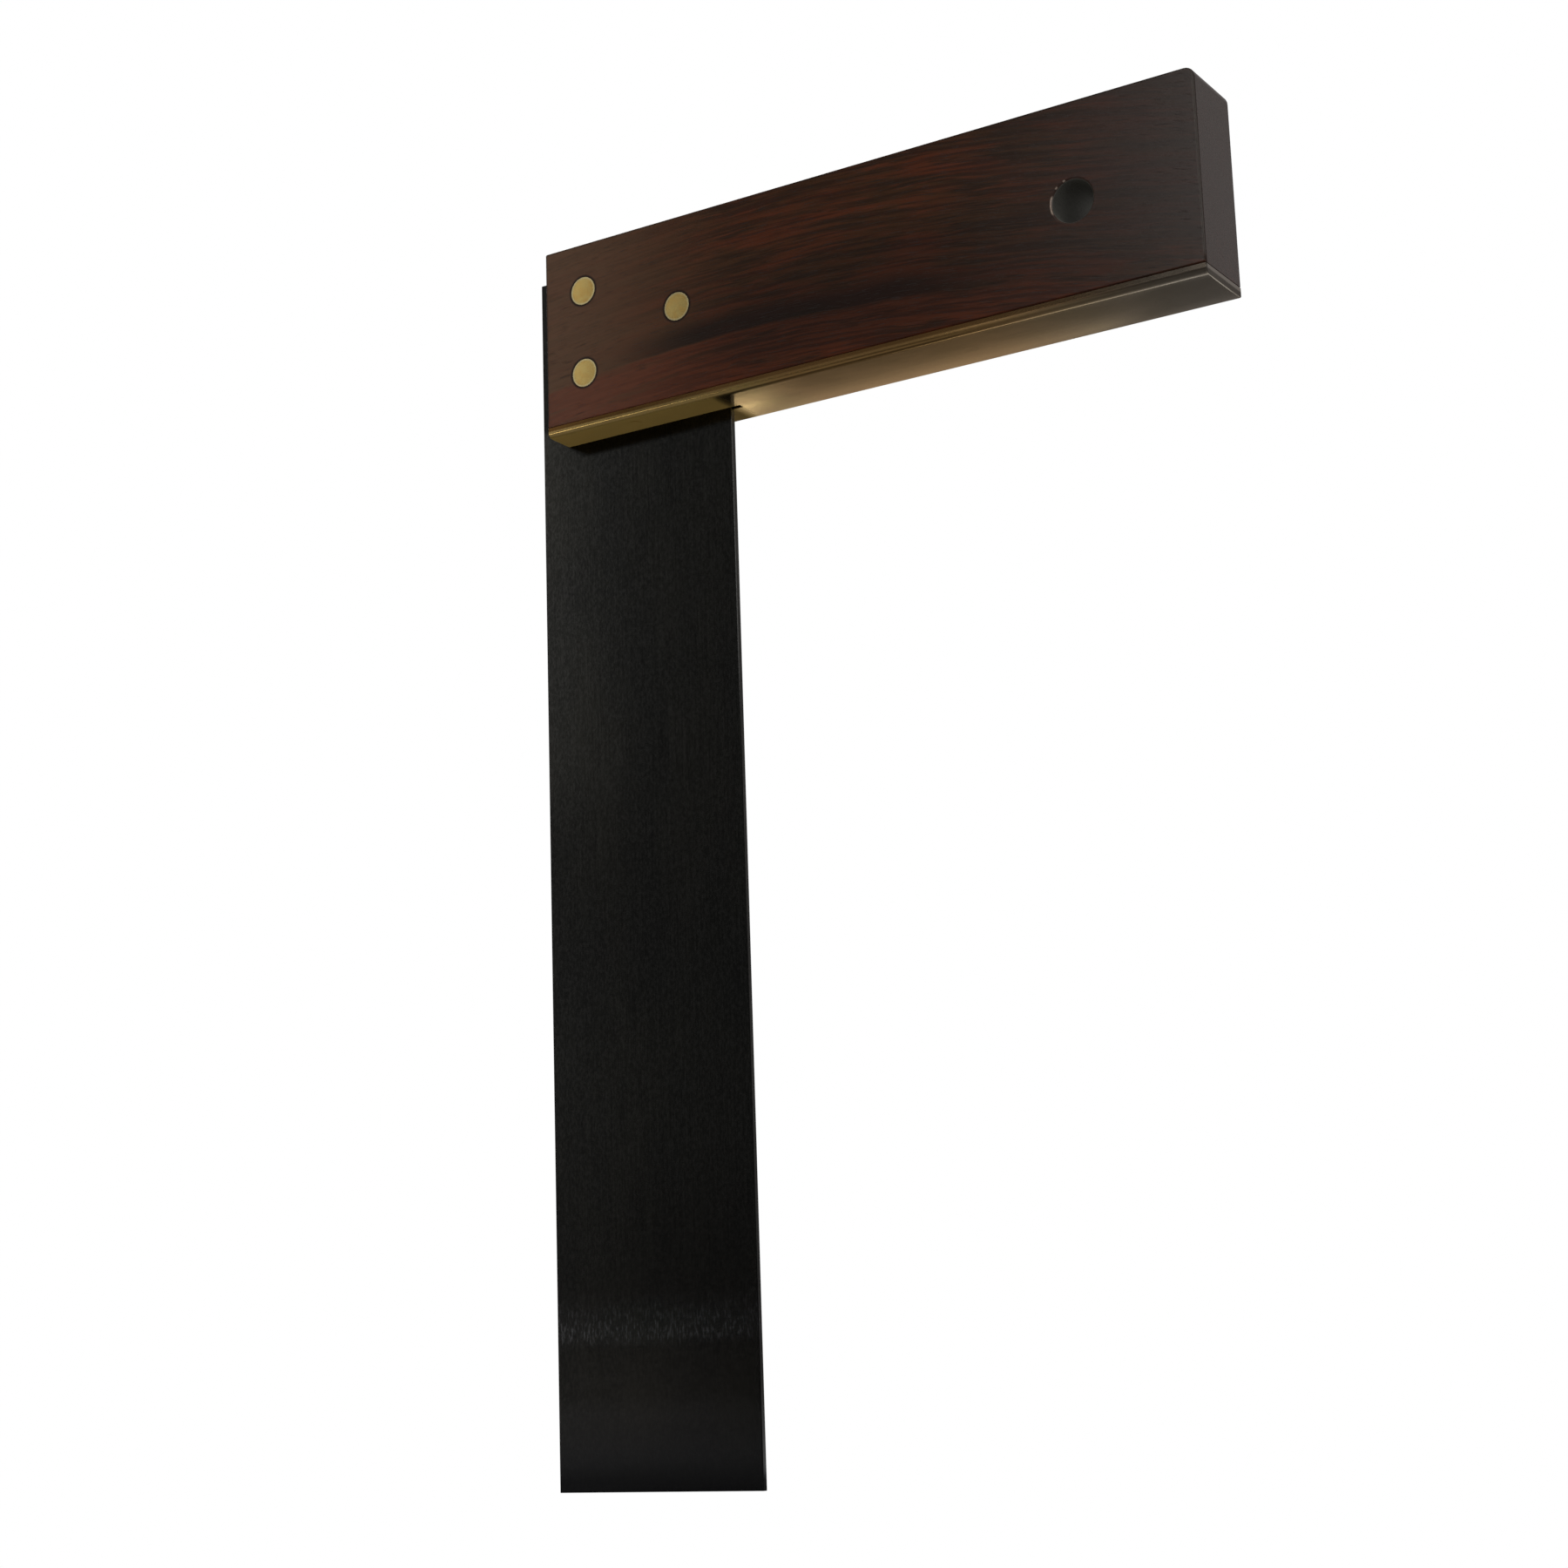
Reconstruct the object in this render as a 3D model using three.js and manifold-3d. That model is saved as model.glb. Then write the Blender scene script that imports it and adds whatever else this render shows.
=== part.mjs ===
// English-pattern carpenter's try square: a rosewood stock faced with brass, a blued-steel blade let into
// a saw kerf in the stock's heel end, and three brass rivets peened into washers let in flush on each side.
//
// Millimetres, +Z up. The stock lies along +X from its heel to its free end, the blade hangs down along -Z,
// and +Y runs through the thickness, away from the front face. The origin is the square's inner corner, where
// the blade's inner edge crosses the level of the brass working face, halfway through the thickness.

import * as THREE from 'three';
import { mergeVertices } from 'three/addons/utils/BufferGeometryUtils.js';
import Module from 'manifold-3d';

const wasm = await Module();
wasm.setup();

// Driving dimensions
const BLADE_LENGTH = 225; // from the working face to the tip, the size the square is sold by
const BLADE_WIDTH = 50;
const BLADE_THICKNESS = 1.3;
const STOCK_LENGTH = 157;
const STOCK_HEIGHT = 43; // from the working face to the stock's back edge, so it includes the face plate
const STOCK_THICKNESS = 16.5;
const FACE_PLATE_THICKNESS = 2.3;
const HEEL_PROUD = 6.8; // how far the blade stands out beyond the stock's heel end
const BLADE_COVER = 3.4; // wood left above the blade's top edge
const FREE_CORNER_RADIUS = 2.2;
const KERF_RELIEF = 2.2; // how far the kerf runs past the blade's inner edge
const HANGING_HOLE_RADIUS = 4.5;
const HANGING_HOLE_CHAMFER = 0.4;
const HANGING_HOLE_FROM_END = 27.4;
const HANGING_HOLE_FROM_BACK_EDGE = 21;
const RIVET_RADIUS = 2;
const WASHER_RADIUS = 3.15;
const WASHER_THICKNESS = 1.2;
const PIN_RADIUS = 1.1;
const PIN_LENGTH = 10.5;
const FIT_GAP = 0.15; // clearance between a piece and the hole or kerf that it sits in
const OVERCUT = 1; // how far a cutting shape runs out past the face that it opens

// Worked out from the driving dimensions
const HEEL_X = HEEL_PROUD - BLADE_WIDTH;
const FREE_END_X = HEEL_X + STOCK_LENGTH;
const BLADE_TOP_Z = STOCK_HEIGHT - BLADE_COVER;
const HALF_STOCK = STOCK_THICKNESS / 2;
const HALF_BLADE = BLADE_THICKNESS / 2;
const HALF_KERF = HALF_BLADE + FIT_GAP;
const HEAD_RADIUS = WASHER_RADIUS * 0.82; // the rivet's end, spread out into the washer's countersink
const HEAD_DEPTH = WASHER_THICKNESS * 0.6;
const PIN_HEAD_RADIUS = PIN_RADIUS * 1.35;
const PIN_HEAD_DEPTH = FACE_PLATE_THICKNESS * 0.4;
const PIN_TIP = PIN_RADIUS * 1.5;
const ROUND_SEGMENTS = 32;
const ARC_SEGMENTS = 8;

// The three rivets stand in a triangle: two near the heel end, one near the blade's inner edge.
const HEEL_RIVET_X = HEEL_X + 10.2;
const UPPER_RIVET_Z = STOCK_HEIGHT - 11;
const LOWER_RIVET_Z = 13;
const RIVETS = [
  { name: 'heel_upper', x: HEEL_RIVET_X, z: UPPER_RIVET_Z },
  { name: 'heel_lower', x: HEEL_RIVET_X, z: LOWER_RIVET_Z },
  { name: 'inner', x: -8.3, z: (UPPER_RIVET_Z + LOWER_RIVET_Z) / 2 },
];

// The face plate's pins: one through each leg beside the blade, and three along the middle of the solid part.
const LEG_CENTRE_Y = (HALF_KERF + HALF_STOCK) / 2;
const LEG_PIN_X = HEEL_X + 21;
const END_PIN_INSET = 13;
const INNER_PIN_X = KERF_RELIEF + END_PIN_INSET;
const END_PIN_X = FREE_END_X - END_PIN_INSET;
const PINS = [
  { name: 'heel_front', x: LEG_PIN_X, y: -LEG_CENTRE_Y },
  { name: 'heel_back', x: LEG_PIN_X, y: LEG_CENTRE_Y },
  { name: 'inner', x: INNER_PIN_X, y: 0 },
  { name: 'middle', x: (INNER_PIN_X + END_PIN_X) / 2, y: 0 },
  { name: 'free_end', x: END_PIN_X, y: 0 },
];

// A closed geometry as a solid that can be cut.
function solidFrom(geometry) {
  const bare = geometry.clone();
  bare.deleteAttribute('normal');
  bare.deleteAttribute('uv');
  const merged = mergeVertices(bare);
  return new wasm.Manifold(new wasm.Mesh({
    numProp: 3,
    vertProperties: new Float32Array(merged.attributes.position.array),
    triVerts: new Uint32Array(merged.index.array),
  }));
}

// The geometry left after every cutter has been taken away from the body.
function cut(body, cutters) {
  const left = cutters.reduce((solid, cutter) => solid.subtract(solidFrom(cutter)), solidFrom(body));
  const mesh = left.getMesh();
  const geometry = new THREE.BufferGeometry();
  geometry.setAttribute('position', new THREE.BufferAttribute(mesh.vertProperties, 3));
  geometry.setIndex(new THREE.BufferAttribute(mesh.triVerts, 1));
  geometry.computeVertexNormals();
  return geometry;
}

// An outline drawn in X and Z, given a thickness that is centred on the XZ plane.
function uprightPanel(outline, thickness) {
  const geometry = new THREE.ExtrudeGeometry(outline, {
    depth: thickness,
    bevelEnabled: false,
    curveSegments: ARC_SEGMENTS,
  });
  geometry.rotateX(Math.PI / 2);
  geometry.translate(0, thickness / 2, 0);
  return geometry;
}

// A box given by its lowest and highest corners.
function boxBetween(low, high) {
  const size = high.map((value, axis) => value - low[axis]);
  const centre = high.map((value, axis) => (value + low[axis]) / 2);
  return new THREE.BoxGeometry(...size).translate(...centre);
}

// A round solid turned about Y from [radius, y] points.
function turned(points) {
  return new THREE.LatheGeometry(points.map(([radius, y]) => new THREE.Vector2(radius, y)), ROUND_SEGMENTS);
}

// A round solid about Z, from [radius, z] points.
function turnedUpright(points) {
  return turned(points).rotateX(Math.PI / 2);
}

// The space the blade takes in the stock and the face plate: open at the heel end and at the working face.
function kerf() {
  return boxBetween(
    [HEEL_X - OVERCUT, -HALF_KERF, -OVERCUT],
    [KERF_RELIEF, HALF_KERF, BLADE_TOP_Z + FIT_GAP],
  );
}

// The hanging hole, opened out by a chamfer where it meets each broad face.
function hangingHole() {
  const rim = HANGING_HOLE_RADIUS + HANGING_HOLE_CHAMFER;
  const chamferStart = HALF_STOCK - HANGING_HOLE_CHAMFER;
  const out = HALF_STOCK + OVERCUT;
  const flare = rim + OVERCUT;
  const hole = turned([
    [0, -out],
    [flare, -out],
    [rim, -HALF_STOCK],
    [HANGING_HOLE_RADIUS, -chamferStart],
    [HANGING_HOLE_RADIUS, chamferStart],
    [rim, HALF_STOCK],
    [flare, out],
    [0, out],
  ]);
  return hole.translate(FREE_END_X - HANGING_HOLE_FROM_END, 0, STOCK_HEIGHT - HANGING_HOLE_FROM_BACK_EDGE);
}

// The hole for one rivet through the stock, with a flat recess for the washer at each broad face.
function rivetHole(rivet) {
  const shank = RIVET_RADIUS + FIT_GAP;
  const recess = WASHER_RADIUS + FIT_GAP;
  const floor = HALF_STOCK - WASHER_THICKNESS - FIT_GAP;
  const out = HALF_STOCK + OVERCUT;
  const hole = turned([
    [0, -out],
    [recess, -out],
    [recess, -floor],
    [shank, -floor],
    [shank, floor],
    [recess, floor],
    [recess, out],
    [0, out],
  ]);
  return hole.translate(rivet.x, 0, rivet.z);
}

// A pin's [radius, z] points from its flush head to its point, made larger all round by the clearance.
function pinPoints(clearance) {
  return [
    [0, 0],
    [PIN_HEAD_RADIUS + clearance, 0],
    [PIN_RADIUS + clearance, PIN_HEAD_DEPTH],
    [PIN_RADIUS + clearance, PIN_LENGTH - PIN_TIP],
    [0, PIN_LENGTH + clearance],
  ];
}

// The hole for one face plate pin, opened downwards past the working face.
function pinHole(pin) {
  const [, head, ...shank] = pinPoints(FIT_GAP);
  const hole = turnedUpright([[0, -OVERCUT], [head[0], -OVERCUT], head, ...shank]);
  return hole.translate(pin.x, pin.y, 0);
}

function stockGeometry() {
  const outline = new THREE.Shape();
  outline.moveTo(HEEL_X, FACE_PLATE_THICKNESS);
  outline.lineTo(FREE_END_X, FACE_PLATE_THICKNESS);
  outline.lineTo(FREE_END_X, STOCK_HEIGHT - FREE_CORNER_RADIUS);
  outline.absarc(
    FREE_END_X - FREE_CORNER_RADIUS,
    STOCK_HEIGHT - FREE_CORNER_RADIUS,
    FREE_CORNER_RADIUS,
    0,
    Math.PI / 2,
  );
  outline.lineTo(HEEL_X, STOCK_HEIGHT);
  const body = uprightPanel(outline, STOCK_THICKNESS);
  return cut(body, [kerf(), hangingHole(), ...RIVETS.map(rivetHole), ...PINS.map(pinHole)]);
}

function facePlateGeometry() {
  const body = boxBetween([HEEL_X, -HALF_STOCK, 0], [FREE_END_X, HALF_STOCK, FACE_PLATE_THICKNESS]);
  return cut(body, [kerf(), ...PINS.map(pinHole)]);
}

function bladeGeometry() {
  const outline = new THREE.Shape();
  outline.moveTo(-BLADE_WIDTH, -BLADE_LENGTH);
  outline.lineTo(0, -BLADE_LENGTH);
  outline.lineTo(0, BLADE_TOP_Z);
  outline.lineTo(-BLADE_WIDTH, BLADE_TOP_Z);
  outline.holes = RIVETS.map(({ x, z }) => {
    const hole = new THREE.Path();
    hole.absarc(x, z, RIVET_RADIUS + FIT_GAP, 0, 2 * Math.PI, true);
    return hole;
  });
  return uprightPanel(outline, BLADE_THICKNESS);
}

function rivetGeometry() {
  return turned([
    [0, -HALF_STOCK],
    [HEAD_RADIUS, -HALF_STOCK],
    [RIVET_RADIUS, HEAD_DEPTH - HALF_STOCK],
    [RIVET_RADIUS, HALF_STOCK - HEAD_DEPTH],
    [HEAD_RADIUS, HALF_STOCK],
    [0, HALF_STOCK],
  ]);
}

// The washer on the back face; the front one is the same piece turned round.
function washerGeometry() {
  const inner = HALF_STOCK - WASHER_THICKNESS;
  return turned([
    [RIVET_RADIUS + FIT_GAP, inner],
    [WASHER_RADIUS, inner],
    [WASHER_RADIUS, HALF_STOCK],
    [HEAD_RADIUS + FIT_GAP, HALF_STOCK],
    [RIVET_RADIUS + FIT_GAP, HALF_STOCK - HEAD_DEPTH],
    [RIVET_RADIUS + FIT_GAP, inner],
  ]);
}

function pinGeometry() {
  return turnedUpright(pinPoints(0));
}

const rosewood = () => new THREE.MeshStandardMaterial({ color: 0x3c2820, roughness: 0.42, metalness: 0 });
const brass = () => new THREE.MeshStandardMaterial({ color: 0xb5964f, roughness: 0.35, metalness: 1 });
const bluedSteel = () => new THREE.MeshStandardMaterial({ color: 0x1c1c1a, roughness: 0.45, metalness: 0.9 });

function piece(name, geometry, material) {
  const mesh = new THREE.Mesh(geometry, material);
  mesh.name = name;
  return mesh;
}

// One rivet with its two washers, in a group placed on the rivet's axis.
function rivetSet(rivet) {
  const group = new THREE.Group();
  group.position.set(rivet.x, 0, rivet.z);
  const frontWasher = piece(`washer_front_${rivet.name}`, washerGeometry(), brass());
  frontWasher.rotation.z = Math.PI;
  const backWasher = piece(`washer_back_${rivet.name}`, washerGeometry(), brass());
  group.add(piece(`rivet_${rivet.name}`, rivetGeometry(), brass()), frontWasher, backWasher);
  return group;
}

function platePin(pin) {
  const mesh = piece(`plate_pin_${pin.name}`, pinGeometry(), brass());
  mesh.position.set(pin.x, pin.y, 0);
  return mesh;
}

const trySquare = new THREE.Group();
trySquare.add(piece('stock', stockGeometry(), rosewood()));
trySquare.add(piece('face_plate', facePlateGeometry(), brass()));
trySquare.add(piece('blade', bladeGeometry(), bluedSteel()));
trySquare.add(...RIVETS.map(rivetSet));
trySquare.add(...PINS.map(platePin));

export default trySquare;
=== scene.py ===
"""A carpenter's try square in Blender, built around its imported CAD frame.

The stock lies along +X, with its brass working face down at z = 0 and its front face towards -Y.
The blued-steel blade hangs down along -Z from the heel end.
Every CAD node is replaced here by a finer piece in the same place.
Lengths are in metres, written as millimetres times MM. The materials work in millimetres.
"""

import math

import bmesh
import bpy
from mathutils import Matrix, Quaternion, Vector


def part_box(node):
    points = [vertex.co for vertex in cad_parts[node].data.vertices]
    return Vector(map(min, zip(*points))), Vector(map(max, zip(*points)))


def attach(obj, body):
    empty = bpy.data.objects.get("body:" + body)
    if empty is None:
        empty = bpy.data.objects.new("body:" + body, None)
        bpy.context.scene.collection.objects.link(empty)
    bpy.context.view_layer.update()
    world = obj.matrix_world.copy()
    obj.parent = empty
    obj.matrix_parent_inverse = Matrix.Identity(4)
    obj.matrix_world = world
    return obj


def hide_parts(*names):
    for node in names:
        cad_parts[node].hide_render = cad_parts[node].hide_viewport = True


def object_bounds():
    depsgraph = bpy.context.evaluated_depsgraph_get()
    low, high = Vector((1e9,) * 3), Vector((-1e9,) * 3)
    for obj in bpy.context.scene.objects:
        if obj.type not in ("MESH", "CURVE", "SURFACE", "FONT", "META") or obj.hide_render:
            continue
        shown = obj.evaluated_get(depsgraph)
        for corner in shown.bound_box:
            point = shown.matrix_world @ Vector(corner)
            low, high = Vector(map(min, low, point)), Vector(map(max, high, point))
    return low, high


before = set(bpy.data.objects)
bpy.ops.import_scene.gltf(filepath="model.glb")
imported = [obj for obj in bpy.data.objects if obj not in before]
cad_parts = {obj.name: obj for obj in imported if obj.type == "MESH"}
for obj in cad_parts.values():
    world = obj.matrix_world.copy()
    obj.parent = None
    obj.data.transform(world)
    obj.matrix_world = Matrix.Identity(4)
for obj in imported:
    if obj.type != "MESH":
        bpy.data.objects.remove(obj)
cad_low, cad_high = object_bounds()

MM = 0.001

# --------------------------------------------------------------------------------------------------
# Sizes read from the frame
# --------------------------------------------------------------------------------------------------

stock_low, stock_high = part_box("stock")
plate_low, plate_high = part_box("face_plate")
blade_low, blade_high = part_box("blade")

RIVET_NAMES = ("heel_upper", "heel_lower", "inner")
PIN_NAMES = ("heel_front", "heel_back", "inner", "middle", "free_end")

HEEL_X = stock_low.x
FREE_X = stock_high.x
FRONT_Y = stock_low.y
BACK_Y = stock_high.y

# Sizes the boxes don't show, as the part is dimensioned
FREE_CORNER_RADIUS = 2.2 * MM
KERF_RELIEF = 2.2 * MM
HOLE_RADIUS = 4.5 * MM
HOLE_CHAMFER = 0.4 * MM
HOLE_CENTRE = Vector((FREE_X - 27.4 * MM, 0, stock_high.z - 21 * MM))
SHANK_RADIUS = 2 * MM
WASHER_THICKNESS = 1.2 * MM
COUNTERSINK_DEPTH = 0.74 * MM
PIN_SHANK_RADIUS = 1.1 * MM
PIN_HEAD_DEPTH = 0.9 * MM
PIN_POINT_LENGTH = 1.65 * MM

# Finish of the edges and seams
RIVET_CROWN = 0.012 * MM
STOCK_ARRIS = 0.45 * MM
PLATE_FRONT_ARRIS = 1.1 * MM
PLATE_BACK_ARRIS = 0.4 * MM
PLATE_END_ARRIS = 0.3 * MM
PLATE_CROWN = 0.15 * MM
BLADE_ARRIS = 0.12 * MM
JOINT_ARRIS = 0.06 * MM
KERF_GAP = 0.1 * MM
SEAM_GAP = 0.02 * MM
WASHER_SEAM = 0.08 * MM

# How finely pieces are made
OVERCUT = 1 * MM
MERGE_DISTANCE = 0.0001 * MM
TURNED_SEGMENTS = 96
ARC_STEPS = 6
CROWN_STRIPS = 12
SHARP_ANGLE = math.radians(32)
FLAT_FACE_WEIGHT = 100


# --------------------------------------------------------------------------------------------------
# Mesh building
# --------------------------------------------------------------------------------------------------

def object_from(name, vertices, faces):
    """A linked mesh object made of the given points and faces, with its faces turned outwards."""
    mesh = bpy.data.meshes.new(name)
    mesh.from_pydata([tuple(v) for v in vertices], [], faces)
    shell = bmesh.new()
    shell.from_mesh(mesh)
    bmesh.ops.remove_doubles(shell, verts=shell.verts, dist=MERGE_DISTANCE)
    bmesh.ops.recalc_face_normals(shell, faces=shell.faces)
    shell.to_mesh(mesh)
    shell.free()
    piece = bpy.data.objects.new(name, mesh)
    bpy.context.scene.collection.objects.link(piece)
    return piece


def rounded_outline(corners, inset):
    """The points of an outline with right-angled, rounded corners, moved inwards by inset.

    Each corner is (u, v, radius), and keeps at least a tenth of its radius.
    """
    points = []
    for i, (u, v, radius) in enumerate(corners):
        corner = Vector((u, v))
        to_last = (Vector(corners[i - 1][:2]) - corner).normalized()
        to_next = (Vector(corners[(i + 1) % len(corners)][:2]) - corner).normalized()
        left = max(radius - inset, radius / 10)
        centre = corner + (inset + left) * (to_last + to_next)
        for step in range(ARC_STEPS + 1):
            angle = math.pi / 2 * step / ARC_STEPS
            points.append(centre - left * (to_next * math.cos(angle) + to_last * math.sin(angle)))
    return points


def slab(name, corners, low, high, arris, place):
    """An outline carried from low to high, with a quarter-round arris at both ends.

    place turns (u, v, w) into a point, w being the distance carried.
    """
    turns = [math.pi / 2 * step / ARC_STEPS for step in range(ARC_STEPS + 1)]
    levels = [(low + arris * (1 - math.cos(t)), arris * (1 - math.sin(t))) for t in turns]
    levels += [(high - arris * (1 - math.cos(t)), arris * (1 - math.sin(t))) for t in reversed(turns)]
    vertices = []
    for w, inset in levels:
        vertices += [place(u, v, w) for u, v in rounded_outline(corners, inset)]
    count = len(vertices) // len(levels)
    faces = [list(range(count)), list(range(len(vertices) - count, len(vertices)))]
    for ring in range(len(levels) - 1):
        for i in range(count):
            a = ring * count + i
            b = ring * count + (i + 1) % count
            faces.append([a, b, b + count, a + count])
    return object_from(name, vertices, faces)


def upright(u, v, w):
    """For an outline drawn in X and Z and carried along Y."""
    return Vector((u, w, v))


def lengthwise(u, v, w):
    """For an outline drawn in Y and Z and carried along X."""
    return Vector((w, u, v))


def turned(name, centre, profile, upright_axis=False):
    """A closed profile of (radius, height) points turned about Y, or about Z if upright, through centre."""
    vertices = []
    for radius, height in profile:
        for i in range(TURNED_SEGMENTS):
            angle = 2 * math.pi * i / TURNED_SEGMENTS
            across, along = radius * math.cos(angle), radius * math.sin(angle)
            offset = (across, along, height) if upright_axis else (across, height, along)
            vertices.append(centre + Vector(offset))
    faces = []
    for ring in range(len(profile)):
        following = (ring + 1) % len(profile)
        if profile[ring][0] == 0 and profile[following][0] == 0:
            continue
        for i in range(TURNED_SEGMENTS):
            j = (i + 1) % TURNED_SEGMENTS
            corners = [(ring, i), (ring, j), (following, j), (following, i)]
            if profile[ring][0] == 0:
                corners = corners[1:]
            elif profile[following][0] == 0:
                corners = corners[:3]
            faces.append([r * TURNED_SEGMENTS + k for r, k in corners])
    return object_from(name, vertices, faces)


def cutting_box(low, high):
    """A plain box that only cuts another piece."""
    xs, ys, zs = zip(low, high)
    vertices = [(x, y, z) for z in zs for y in ys for x in xs]
    faces = [(0, 2, 3, 1), (4, 5, 7, 6), (0, 1, 5, 4), (2, 6, 7, 3), (0, 4, 6, 2), (1, 3, 7, 5)]
    return object_from("cutter", vertices, faces)


def cut(piece, cutters):
    """Takes every cutter away from the piece and discards the cutters."""
    for cutter in cutters:
        modifier = piece.modifiers.new("cut", "BOOLEAN")
        modifier.operation = "DIFFERENCE"
        modifier.solver = "EXACT"
        modifier.object = cutter
    bpy.context.view_layer.update()
    whole = bpy.context.evaluated_depsgraph_get()
    mesh = bpy.data.meshes.new_from_object(piece.evaluated_get(whole), depsgraph=whole)
    piece.modifiers.clear()
    piece.data = mesh
    for cutter in cutters:
        bpy.data.objects.remove(cutter)
    return piece


def finish_piece(piece, material, node):
    """Shades the piece, gives it its material and puts it in the place of its CAD node."""
    for polygon in piece.data.polygons:
        polygon.use_smooth = True
    piece.data.set_sharp_from_angle(angle=SHARP_ANGLE)
    normals = piece.modifiers.new("face_normals", "WEIGHTED_NORMAL")
    normals.keep_sharp = True
    normals.weight = FLAT_FACE_WEIGHT
    piece.data.materials.clear()
    piece.data.materials.append(material)
    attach(piece, "root")
    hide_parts(node)


# --------------------------------------------------------------------------------------------------
# The square's pieces
# --------------------------------------------------------------------------------------------------

def middle(low, high):
    """The point halfway between two others."""
    return (low + high) / 2


def kerf():
    """The saw kerf that holds the blade, run on a little past the blade's inner edge."""
    half = (blade_high.y - blade_low.y) / 2 + KERF_GAP
    return cutting_box(
        (HEEL_X - 2 * OVERCUT, -half, plate_low.z - 2 * OVERCUT),
        (KERF_RELIEF, half, blade_high.z + KERF_GAP),
    )


def hanging_hole():
    """The hanging hole's space, with a narrow chamfer at both rims."""
    rim = HOLE_RADIUS + HOLE_CHAMFER
    out = BACK_Y + OVERCUT
    inner = BACK_Y - HOLE_CHAMFER
    profile = [(0, -out), (rim, -out), (rim, -BACK_Y), (HOLE_RADIUS, -inner)]
    profile += [(HOLE_RADIUS, inner), (rim, BACK_Y), (rim, out), (0, out)]
    return turned("cutter", HOLE_CENTRE, profile)


def rivet_place(name):
    """The middle of a rivet, halfway through the stock."""
    low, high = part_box("rivet_" + name)
    return middle(low, high)


def washer_radius(name):
    """The outer radius of the washers on a rivet."""
    low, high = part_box("washer_front_" + name)
    return (high.x - low.x) / 2


def rivet_hole(name):
    """The space of one rivet and its two washers."""
    recess = washer_radius(name) + WASHER_SEAM
    shank = SHANK_RADIUS + SEAM_GAP
    floor = BACK_Y - WASHER_THICKNESS - SEAM_GAP
    out = BACK_Y + OVERCUT
    profile = [(0, -out), (recess, -out), (recess, -floor), (shank, -floor)]
    profile += [(shank, floor), (recess, floor), (recess, out), (0, out)]
    return turned("cutter", rivet_place(name), profile)


def pin_profile(name, clearance):
    """A face plate pin's (radius, height) points, from its flush head up to its point."""
    low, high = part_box("plate_pin_" + name)
    head = (high.x - low.x) / 2 + clearance
    shank = PIN_SHANK_RADIUS + clearance
    length = high.z - low.z + clearance
    return [(0, 0), (head, 0), (shank, PIN_HEAD_DEPTH), (shank, length - PIN_POINT_LENGTH), (0, length)]


def pin_place(name):
    """The middle of a pin's head."""
    low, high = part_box("plate_pin_" + name)
    return Vector(((low.x + high.x) / 2, (low.y + high.y) / 2, low.z))


def pin_hole(name):
    """The space of one pin, opened downwards past the working face."""
    _, head, *shank = pin_profile(name, SEAM_GAP)
    profile = [(0, -OVERCUT), (head[0], -OVERCUT), head, *shank]
    return turned("cutter", pin_place(name), profile, upright_axis=True)


def add_stock(material):
    """The rosewood stock: a rounded bar with the kerf, the hanging hole and the rivet and pin holes."""
    corners = [
        (HEEL_X, stock_low.z, JOINT_ARRIS),
        (FREE_X, stock_low.z, JOINT_ARRIS),
        (FREE_X, stock_high.z, FREE_CORNER_RADIUS),
        (HEEL_X, stock_high.z, STOCK_ARRIS),
    ]
    piece = slab("stock_body", corners, FRONT_Y, BACK_Y, STOCK_ARRIS, upright)
    cutters = [kerf(), hanging_hole()]
    cutters += [rivet_hole(name) for name in RIVET_NAMES]
    cutters += [pin_hole(name) for name in PIN_NAMES]
    finish_piece(cut(piece, cutters), material, "stock")


def crown_underside(piece, rise):
    """Wears the plate's lower face to a faint crown, whose long edges stand rise above its middle."""
    shell = bmesh.new()
    shell.from_mesh(piece.data)
    for i in range(1, CROWN_STRIPS):
        everything = shell.verts[:] + shell.edges[:] + shell.faces[:]
        bmesh.ops.bisect_plane(
            shell,
            geom=everything,
            plane_co=(0, BACK_Y * (2 * i / CROWN_STRIPS - 1), 0),
            plane_no=(0, 1, 0),
            dist=MERGE_DISTANCE / 10,
        )
    for vertex in shell.verts:
        height = (vertex.co.z - plate_low.z) / (plate_high.z - plate_low.z)
        vertex.co.z += rise * (vertex.co.y / BACK_Y) ** 2 * (1 - height)
    shell.to_mesh(piece.data)
    shell.free()


def add_face_plate(material):
    """The brass face plate: crisp against the wood, with its two long lower edges eased by hand."""
    corners = [
        (FRONT_Y, plate_low.z, PLATE_FRONT_ARRIS),
        (BACK_Y, plate_low.z, PLATE_BACK_ARRIS),
        (BACK_Y, plate_high.z, JOINT_ARRIS),
        (FRONT_Y, plate_high.z, JOINT_ARRIS),
    ]
    piece = slab("face_plate_brass", corners, HEEL_X, FREE_X, PLATE_END_ARRIS, lengthwise)
    crown_underside(piece, PLATE_CROWN)
    cutters = [kerf()] + [pin_hole(name) for name in PIN_NAMES]
    finish_piece(cut(piece, cutters), material, "face_plate")


def add_blade(material):
    """The blued-steel blade, with its three rivet holes."""
    corners = [
        (blade_low.x, blade_low.z, BLADE_ARRIS),
        (blade_high.x, blade_low.z, BLADE_ARRIS),
        (blade_high.x, blade_high.z, BLADE_ARRIS),
        (blade_low.x, blade_high.z, BLADE_ARRIS),
    ]
    piece = slab("blade_steel", corners, blade_low.y, blade_high.y, BLADE_ARRIS, upright)
    half = (blade_high.y - blade_low.y) / 2 + OVERCUT
    hole = SHANK_RADIUS + SEAM_GAP
    profile = [(0, -half), (hole, -half), (hole, half), (0, half)]
    cutters = [turned("cutter", rivet_place(name), profile) for name in RIVET_NAMES]
    finish_piece(cut(piece, cutters), material, "blade")


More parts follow.
